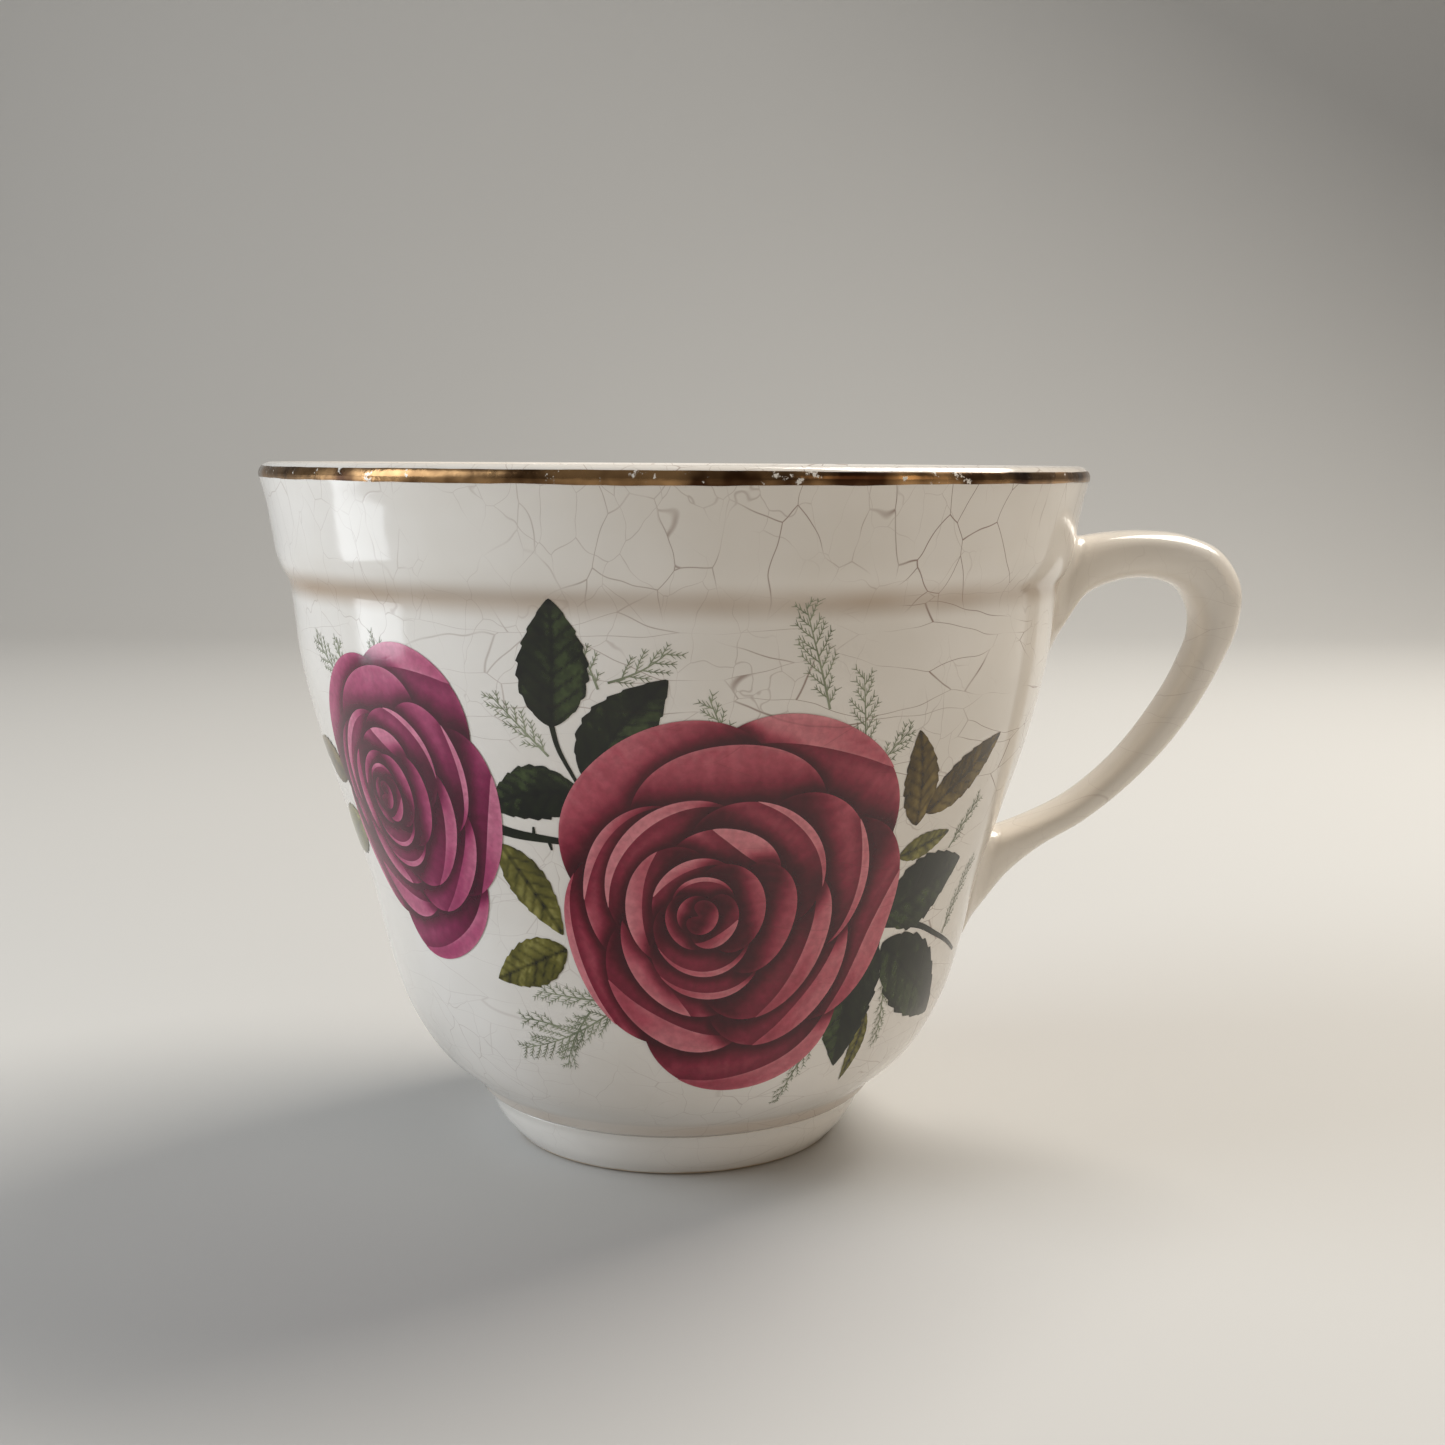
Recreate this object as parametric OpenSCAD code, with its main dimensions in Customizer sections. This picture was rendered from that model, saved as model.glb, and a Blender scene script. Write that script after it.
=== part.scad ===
// Earthenware teacup: a jollied bowl with a raised collar below the rim, a turned foot ring,
// a cast strap handle luted on at two places, a gilt line round the lip, and two identical
// rose transfers, one on each side of the handle.
// Millimetres, +Z up. The origin is the middle of the foot, on the table. The handle points
// along +X, and -Y is the side that a right-handed drinker shows.

/* [Bowl] */
// Height of the cup, from the table to the crown of the lip
cup_height = 71.5; // [66:0.5:78]
// Outer radius at the lip
lip_radius = 42.9; // [40:0.1:48]
// Thickness of the lip
lip_thickness = 2.5; // [2:0.1:3.2]
// Wall thickness half way down
wall_thickness = 2.9; // [2.2:0.1:3.6]
// Thickness of the bowl's floor
floor_thickness = 3.6; // [2.5:0.1:4.5]

/* [Foot] */
// Outer radius of the foot where it rests on the table
foot_radius = 17.7; // [16:0.1:19]
// Height of the foot ring
foot_height = 5.2; // [4:0.1:6]
// Width of the ring that touches the table
foot_ring_width = 3.0; // [2:0.1:4]

/* [Handle] */
// Width of the handle, across the strap, at its widest
handle_width = 9.2; // [7:0.1:11]
// How square the strap's section is: 2 is an ellipse
handle_squareness = 2.7; // [2:0.1:4]
// Thickness of the slip that lutes the handle to the wall
slip_thickness = 0.5; // [0.3:0.1:0.8]
// How far the slip stands out round the handle's ends
slip_margin = 0.8; // [0.4:0.1:1.2]

/* [Decoration] */
// Height of the gilt line on the outside of the lip
gilt_height = 1.4; // [0.8:0.1:1.6]
// Thickness of the fired gold and of the fired transfers
film_thickness = 0.12; // [0.08:0.01:0.2]
// Turn between the two transfers, in degrees
transfer_turn = 180; // [170:1:190]

/* [Hidden] */
$fn = 128;

seam_lift = 1.4;                          // the groove above the foot, up to the bowl's own wall
seam_radius = foot_radius + 4.1;
seam_z = foot_height + seam_lift;
lip_r = lip_thickness / 2;
lip_z = cup_height - lip_r;               // height of the lip's centre
collar_z = cup_height - 11.9;             // the soft shoulder under the collar
wall_span = collar_z - 1 - seam_z;        // the wall's height between the groove and the shoulder
curve_steps = 4;                          // chords in each stretch of a curve

// A smooth curve through a list of points of any dimension, as chords. The slope at a point
// weighs the stretches before and after it by their lengths, so uneven spacing is no matter.
function slope_at(p, i) =
    i == 0 ? (p[1] - p[0]) / norm(p[1] - p[0])
    : i == len(p) - 1 ? (p[i] - p[i - 1]) / norm(p[i] - p[i - 1])
    : let (before = norm(p[i] - p[i - 1]), after = norm(p[i + 1] - p[i]))
      ((p[i] - p[i - 1]) * after / before + (p[i + 1] - p[i]) * before / after) / (before + after);
function spline_at(p, i, t) =
    let (a = p[i], b = p[i + 1], h = norm(b - a), u = slope_at(p, i) * h, v = slope_at(p, i + 1) * h)
    a + u * t + (3 * (b - a) - 2 * u - v) * t * t + (2 * (a - b) + u + v) * t * t * t;
function spline(p, steps = curve_steps) =
    [for (i = [0:len(p) - 2], k = [0:steps - 1]) spline_at(p, i, k / steps), p[len(p) - 1]];
function arc(centre, radius, from, to, steps = 8) =
    [for (k = [0:steps]) let (a = from + (to - from) * k / steps) centre + radius * [cos(a), sin(a)]];
function reversed(list) = [for (k = [len(list) - 1:-1:0]) list[k]];

// ---- the outside wall, from the groove above the foot to the lip, as [radius, height]

// Radius of the wall at shares of its height: a full hip, a faint waist, and nearly upright on top.
wall_shape = [[0, 0], [0.07, 4.0], [0.17, 7.1], [0.30, 9.2], [0.42, 10.6], [0.56, 12.9], [0.72, 15.5],
              [0.88, 17.4], [1, 18.1]];
wall_points = [for (w = wall_shape) [seam_radius + w[1], seam_z + wall_span * w[0]]];
collar_points = [[lip_radius - 2.85, collar_z], [lip_radius - 2.15, collar_z + 1.3],
                 [lip_radius - 1.65, collar_z + 2.6], [lip_radius - 1.25, collar_z + 4.9],
                 [lip_radius - 0.7, collar_z + 8.2], [lip_radius - 0.08, lip_z]];
outer_wall = spline(concat(wall_points, collar_points));
outer_profile = concat(outer_wall, arc([lip_radius - 0.08 - lip_r, lip_z], lip_r, 10, 90, 8));

// Moves each point of a profile outwards, square to the profile. The foot end stays level.
function normal_at(p, i) =
    let (d = p[min(i + 1, len(p) - 1)] - p[max(i - 1, 0)]) [d[1], -d[0]] / norm(d);
function grown(p, by) = [for (i = [0:len(p) - 1]) p[i] + by * normal_at(p, i)];

// ---- the inside, from the lip down to the middle of the floor

floor_z = foot_height + floor_thickness;
inner_points = [[lip_radius - 0.08 - lip_thickness, lip_z],
                [lip_radius - 3.0 - lip_thickness / 6, collar_z + 5],
                [seam_radius + 17.0 - wall_thickness, seam_z + 0.85 * wall_span],
                [seam_radius + 14.0 - wall_thickness, seam_z + 0.64 * wall_span],
                [seam_radius + 10.6 - wall_thickness, seam_z + 0.43 * wall_span],
                [seam_radius + 8.6 - wall_thickness, seam_z + 0.28 * wall_span],
                [seam_radius + 5.2 - wall_thickness, seam_z + 0.15 * wall_span],
                [seam_radius - 3.5, floor_z + 1.5], [seam_radius / 2, floor_z + 0.2], [0, floor_z]];
inner_profile = concat(arc([lip_radius - 0.08 - lip_r, lip_z], lip_r, 105, 165, 5), spline(inner_points));

module bowl() {
    color("whitesmoke")
    rotate_extrude()
    polygon(concat([[0, foot_height], [seam_radius - 0.9, foot_height]], outer_profile, inner_profile));
}

// Everything inside the wall's own outside, grown by a distance: it trims what sits on the wall.
module wall_solid(by = 0) {
    skin = grown(outer_wall, by);
    rotate_extrude()
    polygon(concat([[0, skin[0][1]]], skin, [[0, skin[len(skin) - 1][1]]]));
}

// A skin on the outside of the wall, as thick as thickness.
module wall_skin(thickness) {
    rotate_extrude()
    polygon(concat(outer_wall, reversed(grown(outer_wall, thickness))));
}

// ---- the foot ring

module foot_ring() {
    top = seam_radius - 1.1;              // a hair inside the bowl's edge, which leaves the seam's line
    inside = foot_radius - foot_ring_width;
    tread = 0.8;                          // radius of the rounded tread
    tread_edge = arc([foot_radius - tread, tread], tread, 270, 315, 3);
    outside = spline([tread_edge[3], [foot_radius + 1.3, 0.38 * foot_height],
                      [foot_radius + 2.2, 0.68 * foot_height], [foot_radius + 2.6, 0.86 * foot_height],
                      [top, foot_height]]);
    color("white")
    rotate_extrude()
    polygon(concat(arc([inside + tread, tread], tread, 180, 270, 4), [for (k = [0:2]) tread_edge[k]], outside,
                   [[inside - 0.6, foot_height]]));
}

// ---- the handle: stations along the strap, each [outer x, outer z, inner x, inner z, half width]

w = handle_width / 2;
handle_stations = [
    [38.0, 63.6, 36.0, 46.0, w], [43.2, 64.2, 40.7, 54.0, 0.98 * w], [46.0, 64.6, 43.0, 57.6, 0.96 * w],
    [50.0, 64.8, 46.6, 59.4, 0.94 * w], [54.2, 64.3, 50.6, 59.7, 0.93 * w], [57.9, 62.6, 53.6, 58.6, 0.93 * w],
    [60.0, 59.2, 55.0, 56.4, 0.94 * w], [59.9, 55.2, 55.2, 53.6, 0.94 * w], [58.2, 50.8, 54.1, 50.4, 0.92 * w],
    [54.7, 44.5, 51.7, 46.0, 0.88 * w], [49.6, 38.4, 47.4, 40.3, 0.85 * w], [43.8, 33.5, 42.2, 35.9, 0.84 * w],
    [38.9, 30.5, 37.6, 33.6, 0.87 * w], [35.6, 27.6, 34.4, 32.5, 0.91 * w], [32.8, 24.0, 32.4, 32.2, 0.95 * w],
    [27.5, 18.5, 28.0, 32.4, w]];
section_sides = 24;
upper_end = 1.5;                          // stations from the upper end that a joint takes in
lower_end = len(handle_stations) - 2.7;

// One ring of points: a rounded rectangle between the outer and the inner point of a station.
function section(s, grow) =
    let (o = [s[0], s[1]], i = [s[2], s[3]], middle = (o + i) / 2, across = (o - i) / norm(o - i),
         half = norm(o - i) / 2 + grow, side = s[4] + grow, power = 2 / handle_squareness)
    [for (k = [0:section_sides - 1])
        let (a = 360 * k / section_sides,
             u = half * sign(cos(a)) * pow(abs(cos(a)), power),
             v = side * sign(sin(a)) * pow(abs(sin(a)), power))
        [middle[0] + u * across[0], v, middle[1] + u * across[1]]];

// The strap between two stations, which may lie between whole ones.
module strap(from, to, grow = 0, rings = 60) {
    stations = [for (k = [0:rings])
        let (s = from + (to - from) * k / rings, i = min(floor(s), len(handle_stations) - 2))
        spline_at(handle_stations, i, s - i)];
    points = [for (s = stations) each section(s, grow)];
    n = section_sides;
    sides = [for (r = [0:rings - 1], k = [0:n - 1]) let (a = r * n + k, b = r * n + (k + 1) % n)
        each [[a, b, a + n], [b, b + n, a + n]]];
    start = [for (k = [n - 1:-1:0]) k];
    finish = [for (k = [0:n - 1]) rings * n + k];
    polyhedron(points, concat([start], sides, [finish]));
}

module handle() {
    color("whitesmoke")
    difference() {
        strap(0, len(handle_stations) - 1);
        wall_solid(slip_thickness);
    }
}

module handle_joint(from, to) {
    color("gainsboro")
    intersection() {
        strap(from, to, slip_margin, 14);
        wall_skin(slip_thickness);
    }
}

module upper_handle_joint() { handle_joint(0, upper_end); }
module lower_handle_joint() { handle_joint(lower_end, len(handle_stations) - 1); }

// ---- the gilt line, on the last of the wall and the first of the lip's curve

module gilt_rim_line() {
    drop = 1.75;                          // from the crown of the lip to the line's lower edge
    color("goldenrod")
    rotate_extrude()
    intersection() {
        polygon(concat(outer_profile, reversed(grown(outer_profile, film_thickness))));
        translate([0, cup_height - drop]) square([2 * lip_radius, gilt_height]);
    }
}

// ---- the transfers: patches of skin, cut out by prisms that face outwards from the axis

// A transfer is drawn on a flat sheet. Its u runs round the cup from the middle of the front, at
// sheet_radius, and its v runs up the wall from the groove above the foot.
sheet_radius = 36;
wall_lengths = [for (i = 0, run = 0; i < len(outer_wall);
    run = run + (i < len(outer_wall) - 1 ? norm(outer_wall[i + 1] - outer_wall[i]) : 0), i = i + 1) run];
radius_table = [for (i = [0:len(outer_wall) - 1]) [wall_lengths[i], outer_wall[i][0]]];
height_table = [for (i = [0:len(outer_wall) - 1]) [wall_lengths[i], outer_wall[i][1]]];
function degrees_at(u) = u / sheet_radius * 180 / PI;
function on_wall(p, middle) = [lookup(p[1], radius_table) * sin(degrees_at(p[0] - middle)), lookup(p[1], height_table)];

// A prism that stands out from the axis and cuts the sheet's outline out of the wall's skin.
module cutter(outline, turn) {
    middle = (min([for (p = outline) p[0]]) + max([for (p = outline) p[0]])) / 2;
    rotate([0, 0, degrees_at(middle) + turn])
    rotate([90, 0, 0])
    linear_extrude(lip_radius + 2)
    polygon([for (p = outline) on_wall(p, middle)]);
}

// Roses: [middle u, middle v, half width, half height, lean, outer petals, way of the first petal]
large_rose = [6.4, 28.6, 18.8, 19.6, 0, 5, 60];
side_rose = [-28, 37.2, 12.2, 16.2, -12, 5, 78];
petal_spread = 62;                        // half of a petal's fan, in degrees
petal_squareness = 2.6;                   // how blunt a petal's end is
petal_variety = 0.05;                     // how much the petals' reach differs

// A rose's outline: at each way from its middle, the reach of the outer petal that goes furthest.
function petal_reach(rose, k, a) =
    let (way = rose[6] + 360 / rose[5] * k, s = abs((a - way + 540) % 360 - 180) / petal_spread)
    (1 + petal_variety * sin(150 * k)) * pow(1 - pow(min(s, 1), petal_squareness), 1 / petal_squareness);
function rose_outline(rose, steps = 60) =
    [for (i = [0:steps - 1])
        let (a = 360 * i / steps, r = max([for (k = [0:rose[5] - 1]) petal_reach(rose, k, a)]),
             x = rose[2] * r * cos(a), y = rose[3] * r * sin(a))
        [rose[0] + x * cos(rose[4]) - y * sin(rose[4]), rose[1] + x * sin(rose[4]) + y * cos(rose[4])]];

// Leaves and sprigs: [base u, base v, tip u, tip v, width, bow to the right of the way to the tip]
leaves = [[-10.3, 46.2, -9.9, 57.8, 6.0, 0.2], [-7.8, 41.4, -0.6, 50.8, 5.8, -0.4], [-8.1, 40, -17.5, 37.8, 5.4, 0.8],
    [-16.9, 34.2, -11.6, 25, 4.4, 0], [-11.4, 23.6, -20.3, 19.6, 4.8, 0], [24.7, 35.2, 22.3, 45.2, 4.2, 0.3],
    [25.6, 36.4, 35, 43.5, 4.4, 0], [23.4, 25.8, 34.8, 30.2, 8, 0], [22.9, 23, 21, 9.3, 7.4, 1.6],
    [24.1, 22.7, 38.4, 12.3, 7.6, 0], [23.4, 32, 30.4, 33.9, 2.6, 0], [23.6, 15.5, 23.4, 6.8, 2.2, 0],
    [-39, 38.2, -47, 41, 4.4, 0], [-39.2, 33.6, -47.6, 29.4, 5.2, 0]];
stems = [[[-10.3, 46.6], [-9.9, 44.3], [-9, 42.1], [-8, 40.2], [-6.8, 39.2]],
    [[-17.8, 36], [-15, 35.4], [-12, 35.1], [-8.4, 34.8]],
    [[22.8, 25.8], [23.4, 24], [23.6, 22]], [[23.6, 24.8], [30, 23.6], [34, 22], [38, 20.4], [42, 18.6]]];
stem_width = 0.8;
sprigs = [[-10.8, 43.4, -15.6, 49, 1.8, 0], [-6.2, 49.8, -7.4, 53.4, 1.6, 0], [-5.4, 50.4, -0.3, 53.4, 2, 0.4],
    [4.2, 45, 2.6, 49.2, 1.6, 0], [12.8, 47.8, 10.1, 57.4, 2.4, 0], [17, 41.6, 15.6, 51, 2.4, 0],
    [17.4, 41, 21.4, 45.6, 2, 0], [-33, 47.8, -38.2, 52.6, 2.2, 0], [-33, 48.6, -33.6, 52.8, 1.6, 0],
    [-28.4, 50.2, -27.6, 53, 1.6, 0], [-5.4, 18.4, -18.9, 12, 3, -0.8], [-8, 18.4, -15.4, 18.9, 2, 0],
    [17, 13.4, 14, 4.8, 2, 0.6], [31.4, 31.8, 34.6, 37, 1.8, 0], [25.6, 19, 27, 11, 1.8, 0],
    [36, 21.6, 39.4, 29.4, 2.4, 0]];

// A pointed leaf's outline. The bow moves its middle sideways.
function leaf_outline(s, steps = 8) =
    let (base = [s[0], s[1]], along = [s[2], s[3]] - base, right = [along[1], -along[0]] / norm(along))
    [for (k = [0:2 * steps - 1])
        let (side = k <= steps ? 1 : -1, t = (k <= steps ? k : 2 * steps - k) / steps,
             half = s[4] / 2 * pow(sin(180 * pow(t, 0.8)), 0.85))
        base + along * t + right * (side * half + s[5] * sin(180 * t))];

// A strip along a stem, as wide as width and pointed at its end.
function strip_outline(path, width) =
    let (sides = [for (s = [1, -1]) [for (i = [0:len(path) - 2]) path[i] + s * width / 2 * normal_at(path, i)]])
    concat(sides[0], [path[len(path) - 1]], reversed(sides[1]));

module rose_cutter(rose, turn) { cutter(rose_outline(rose), turn); }

module large_rose_print(turn) {
    color([0.63, 0.25, 0.32])
    intersection() {
        wall_skin(film_thickness);
        rose_cutter(large_rose, turn);
    }
}

module side_rose_print(turn) {
    color([0.62, 0.17, 0.36])
    intersection() {
        wall_skin(film_thickness);
        rose_cutter(side_rose, turn);
    }
}

// The leaves and the stems, less what the roses cover.
module leaf_print(turn) {
    color([0.17, 0.21, 0.15])
    intersection() {
        wall_skin(film_thickness);
        difference() {
            union() {
                for (leaf = leaves) cutter(leaf_outline(leaf), turn);
                for (stem = stems) cutter(strip_outline(stem, stem_width), turn);
            }
            rose_cutter(large_rose, turn);
            rose_cutter(side_rose, turn);
        }
    }
}

// The fern sprigs, less what the roses and the leaves cover.
module fern_print(turn) {
    color([0.48, 0.50, 0.38])
    intersection() {
        wall_skin(film_thickness);
        difference() {
            for (sprig = sprigs) cutter(leaf_outline(sprig, 5), turn);
            rose_cutter(large_rose, turn);
            rose_cutter(side_rose, turn);
            for (leaf = leaves) cutter(leaf_outline(leaf), turn);
            for (stem = stems) cutter(strip_outline(stem, stem_width), turn);
        }
    }
}

bowl();
foot_ring();
handle();
upper_handle_joint();
lower_handle_joint();
gilt_rim_line();
large_rose_print(0);  // front_large_rose_print
side_rose_print(0);  // front_side_rose_print
leaf_print(0);  // front_leaf_print
fern_print(0);  // front_fern_print
large_rose_print(transfer_turn);  // back_large_rose_print
side_rose_print(transfer_turn);  // back_side_rose_print
leaf_print(transfer_turn);  // back_leaf_print
fern_print(transfer_turn);  // back_fern_print
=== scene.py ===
# The looks of an off-white, crackle-glazed earthenware teacup with a gilt line and a rose spray
# on each side. Lengths are millimetres in the CAD frame up to make_piece(), which turns them into
# metres. The materials, the stage, the lights and the camera are in metres.

import math

import bpy
import numpy as np
from mathutils import Matrix, Vector
from mathutils.geometry import delaunay_2d_cdt


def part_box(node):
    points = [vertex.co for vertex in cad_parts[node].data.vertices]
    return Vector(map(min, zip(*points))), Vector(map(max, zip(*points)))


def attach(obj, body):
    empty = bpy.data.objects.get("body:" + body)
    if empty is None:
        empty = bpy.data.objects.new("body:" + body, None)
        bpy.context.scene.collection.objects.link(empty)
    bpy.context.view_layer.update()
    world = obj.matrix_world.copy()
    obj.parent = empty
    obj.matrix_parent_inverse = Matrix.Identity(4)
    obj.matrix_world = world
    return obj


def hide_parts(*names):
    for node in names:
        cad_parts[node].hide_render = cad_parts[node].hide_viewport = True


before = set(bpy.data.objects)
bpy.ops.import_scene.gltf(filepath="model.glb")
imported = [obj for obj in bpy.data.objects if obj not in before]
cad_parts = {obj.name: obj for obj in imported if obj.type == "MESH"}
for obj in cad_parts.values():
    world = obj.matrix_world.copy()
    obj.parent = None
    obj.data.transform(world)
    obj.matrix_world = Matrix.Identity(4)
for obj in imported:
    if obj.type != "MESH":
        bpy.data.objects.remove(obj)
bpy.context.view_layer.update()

MM = 0.001
BODY = "root"


# ---- driving sizes, from the frame

def half_width(node):
    low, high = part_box(node)
    return (high.y - low.y) / 2 / MM


cup_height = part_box("bowl")[1].z / MM
lip_outer = half_width("bowl")
foot_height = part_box("foot_ring")[1].z / MM
seam_radius = half_width("foot_ring") + 1.1
lip_rounding = 1.25                           # radius of the rounded lip
lip_z = cup_height - lip_rounding
seam_z = foot_height + 1.4
collar_z = cup_height - 11.9
wall_span = collar_z - 1 - seam_z
wall_thickness = 2.9
floor_z = foot_height + 3.6
sheet_radius = 36                             # the transfers' u is measured round this radius


# ---- curves

def spline(points, steps):
    """A smooth curve through points of any dimension, as chords. Uneven spacing is no matter."""
    p = np.asarray(points, float)
    chord = np.linalg.norm(np.diff(p, axis=0), axis=1)
    slope = np.empty_like(p)
    rise = np.diff(p, axis=0) / chord[:, None]
    slope[0], slope[-1] = rise[0], rise[-1]
    before, after = chord[:-1, None], chord[1:, None]
    slope[1:-1] = (rise[:-1] * after + rise[1:] * before) / (before + after)
    t = np.arange(steps)[None, :, None] / steps
    a, b = p[:-1, None], p[1:, None]
    u, v = (slope[:-1] * chord[:, None])[:, None], (slope[1:] * chord[:, None])[:, None]
    curve = a + u * t + (3 * (b - a) - 2 * u - v) * t ** 2 + (2 * (a - b) + u + v) * t ** 3
    return np.vstack([curve.reshape(-1, p.shape[1]), p[-1:]])


def run_along(curve):
    """How far along a curve each of its points lies."""
    return np.concatenate([[0], np.cumsum(np.linalg.norm(np.diff(curve, axis=0), axis=1))])


def points_at(curve, run, at):
    """Points of a curve, which has the given run, at distances along it."""
    return np.stack([np.interp(at, run, curve[:, i]) for i in range(curve.shape[1])], 1)


def with_normals(curve, run, at, step):
    """Radius, height and outward normal (radial, up) at distances along the curve of a turned wall."""
    r, z = points_at(curve, run, at).T
    dr, dz = (points_at(curve, run, at + step) - points_at(curve, run, at - step)).T
    size = np.hypot(dr, dz)
    return r, z, dz / size, -dr / size


def evenly(curve, spacing, closed=False):
    """Points about spacing apart along a curve."""
    if closed:
        curve = np.vstack([curve, curve[:1]])
    run = run_along(curve)
    count = max(3, int(round(run[-1] / spacing)))
    at = np.linspace(0, run[-1], count + 1)
    return points_at(curve, run, at[:-1] if closed else at)


def arc(centre, radius, start, end, steps):
    """Part of a circle, between two angles in degrees."""
    a = np.radians(np.linspace(start, end, steps + 1))
    return np.array(centre) + radius * np.stack([np.cos(a), np.sin(a)], 1)


# ---- the wall: [out from the groove's radius, share of the way up to the collar], and for the collar
# [in from the lip, height over the collar's foot]

wall_shape = [(0, 0), (4.0, 0.07), (7.1, 0.17), (9.2, 0.30), (10.6, 0.42), (12.9, 0.56), (15.5, 0.72),
              (17.4, 0.88), (18.1, 1)]
collar_shape = [(2.77, 0), (2.07, 1.3), (1.57, 2.6), (1.17, 4.9), (0.62, 8.2), (0, lip_z - collar_z)]
outer_wall = spline([(seam_radius + out, seam_z + wall_span * up) for out, up in wall_shape]
                    + [(lip_outer - inset, collar_z + up) for inset, up in collar_shape], 20)
wall_run = run_along(outer_wall)


def wall_radius(z):
    """Outer radius of the wall at a height."""
    return np.interp(z, outer_wall[:, 1], outer_wall[:, 0])


def on_wall(uv, lift, turn):
    """Sheet points to points on the wall, lifted off it, and their normals. u runs round the wall, and
    v runs up along it from the groove."""
    angle = uv[:, 0] / sheet_radius + turn
    r, z, out, up = with_normals(outer_wall, wall_run, uv[:, 1], step=0.3)
    normals = np.stack([out * np.sin(angle), -out * np.cos(angle), up], 1)
    points = np.stack([r * np.sin(angle), -r * np.cos(angle), z], 1)
    return points + normals * np.reshape(lift, (-1, 1)), normals


# ---- meshes

def make_piece(name, points, faces, material, slot, replaced, normals=None):
    """A mesh piece from millimetre points. It rides on the cup and stands for its CAD node."""
    mesh = bpy.data.meshes.new(name)
    mesh.from_pydata((np.asarray(points) * MM).tolist(), [], [list(map(int, f)) for f in faces])
    mesh.polygons.foreach_set("use_smooth", [True] * len(mesh.polygons))
    mesh.materials.append(material)
    mesh.update()
    if normals is not None:
        mesh.normals_split_custom_set_from_vertices(np.asarray(normals).tolist())
    piece = bpy.data.objects.new(name, mesh)
    bpy.context.scene.collection.objects.link(piece)
    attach(piece, BODY)
    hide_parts(replaced)
    return piece


def lathe(profile, segments):
    """Points and faces of a profile turned round Z. A profile point on the axis becomes a pole."""
    points, rows = [], []
    angles = np.linspace(0, 2 * math.pi, segments, endpoint=False)
    for r, z in profile:
        if r < 1e-6:
            rows.append([len(points)] * segments)
            points.append((0, 0, z))
        else:
            rows.append(list(range(len(points), len(points) + segments)))
            points.extend(zip(r * np.cos(angles), r * np.sin(angles), [z] * segments))
    faces = []
    for low, high in zip(rows, rows[1:]):
        for k in range(segments):
            j = (k + 1) % segments
            corners = [low[k], low[j], high[j], high[k]]
            faces.append(list(dict.fromkeys(corners)))
    return points, faces


def grid_faces(rows, columns, closed):
    """Quads between rows of points. closed joins each row's last column to its first."""
    quads = []
    for low in range(0, (rows - 1) * columns, columns):
        high = low + columns
        for k in range(columns if closed else columns - 1):
            j = (k + 1) % columns
            quads.append((low + k, low + j, high + j, high + k))
    return quads


# ---- materials

def srgb(r, g, b):
    """A linear colour from sRGB shares, with alpha."""
    return tuple(c / 12.92 if c <= 0.04045 else ((c + 0.055) / 1.055) ** 2.4 for c in (r, g, b)) + (1,)


CRACK_BROWN = srgb(0.42, 0.22, 0.08)
# The brown of the bands of staining, which also stands for painted shade in the creases that they lie in
STAIN_AND_SHADE_BROWN = srgb(0.62, 0.50, 0.37)

# Crack patterns: [push by noise, scale of that noise, stretch, scale of the cells, width of the line].
# A stretch over 1 brings cracks closer together that way, and one below 1 draws them out.
LEVEL_CRACKS = (0.0028, 90, (0.6, 0.6, 2.4), 118, 0.009)
UPRIGHT_CRACKS = (0.003, 110, (1.3, 1.3, 0.72), 160, 0.012)
FINE_CRACKS = (0.003, 200, (1.5, 1.5, 0.9), 190, 0.012)

# Bands of brown round the wall, in the creases under the collar and by the groove, partly real staining and
# partly painted shade: [height, reach, share]
STAIN_AND_SHADE_BANDS = [(collar_z + 0.2, 2.0, 1.0), (seam_z - 0.6, 1.8, 0.6)]
stain_and_shade_depth = 1.6                             # how far into the wall they go, so that the inside stays clean


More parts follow.
